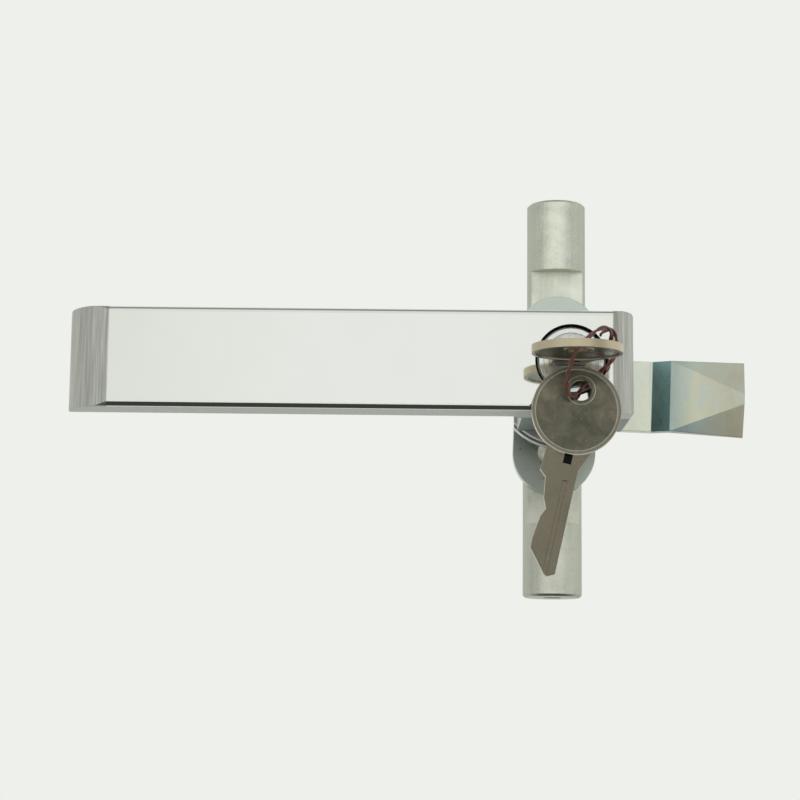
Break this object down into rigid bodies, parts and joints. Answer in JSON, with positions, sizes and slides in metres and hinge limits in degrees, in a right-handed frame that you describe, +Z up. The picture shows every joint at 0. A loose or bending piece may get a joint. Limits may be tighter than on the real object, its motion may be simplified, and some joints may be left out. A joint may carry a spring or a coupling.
{
  "type": "locking l-handle",
  "caption": "Chrome L-shaped door handle with a keyed lock in its bar, a nose cam and a pair of pivoted rod ends behind the door for a three-point latch.",
  "frame": {"origin": "turning axis where it crosses the outer face of the door", "axes": "+X towards the nose cam and away from the grip, +Y into the door, +Z up"},
  "size_m": [0.1753, 0.0975, 0.1088],
  "materials": {
    "chrome": "polished face with satin brushed ends",
    "satin_chrome": "satin",
    "rubber": "matte",
    "dark_plastic": "matte",
    "steel": "turned",
    "blue_zinc": "blue and yellow passivated zinc",
    "zinc": "matte grainy zinc plate",
    "brass": "dark plated",
    "key_metal": "worn nickel plate over brass",
    "wire": "reddish-brown coating"
  },
  "bodies": {
    "base": {"base_rose": "chrome", "door_gasket": "rubber", "tooth_washer": "steel", "mounting_nut": "blue_zinc"},
    "handle": {"handle_bar": "chrome", "lock_cylinder": "satin_chrome", "cylinder_screw": "steel", "spindle": "steel", "spindle_seal": "rubber", "stop_pin": "steel", "thrust_washer": "dark_plastic", "wave_washer": "steel", "nose_cam": "blue_zinc", "rod_cam": "blue_zinc", "cam_washer": "zinc", "spring_washer": "steel", "cam_screw": "zinc", "rod_rivets": "zinc", "rivet_washers": "zinc"},
    "plug": {"lock_plug": "brass", "wafer_tumblers": "brass", "wafer_springs": "steel", "plug_ring": "steel", "drive_cam": "steel"},
    "bolt": {"lock_bolt": "steel"},
    "key": {"lock_key": "key_metal", "key_tie": "wire"},
    "spare": {"spare_key": "key_metal"},
    "upper_rod": {"upper_rod_end": "zinc"},
    "lower_rod": {"lower_rod_end": "zinc"}
  },
  "joints": [
    {"name": "handle_turn", "type": "hinge", "parent": "base", "child": "handle", "pos_m": [0, 0, 0], "axis": [0, -1, 0], "range_deg": [0, 90]},
    {"name": "upper_rod_pivot", "type": "hinge", "parent": "handle", "child": "upper_rod", "pos_m": [0.00056, 0.0215, 0.01599], "axis": [0, -1, 0], "range_deg": [-90, 0]},
    {"name": "lower_rod_pivot", "type": "hinge", "parent": "handle", "child": "lower_rod", "pos_m": [-0.00056, 0.0215, -0.01599], "axis": [0, -1, 0], "range_deg": [-90, 0]},
    {"name": "lock_turn", "type": "hinge", "parent": "handle", "child": "plug", "pos_m": [0, -0.0276, 0], "axis": [0, -1, 0], "range_deg": [0, 90]},
    {"name": "bolt_slide", "type": "slide", "parent": "handle", "child": "bolt", "axis": [-1, 0, 0], "range_m": [0, 0.00283]},
    {"name": "key_pull", "type": "slide", "parent": "plug", "child": "key", "axis": [0, -1, 0], "range_m": [0, 0.03]},
    {"name": "spare_key_swing", "type": "hinge", "parent": "key", "child": "spare", "pos_m": [0.0018, -0.045, -0.0085], "axis": [0, -1, 0], "range_deg": [-12, 12]}
  ],
  "couplings": [
    {"joint": "upper_rod_pivot", "follows": "handle_turn", "ratio": -1},
    {"joint": "lower_rod_pivot", "follows": "handle_turn", "ratio": -1},
    {"joint": "bolt_slide", "follows": "lock_turn", "m_per_rad": 0.0018}
  ]
}
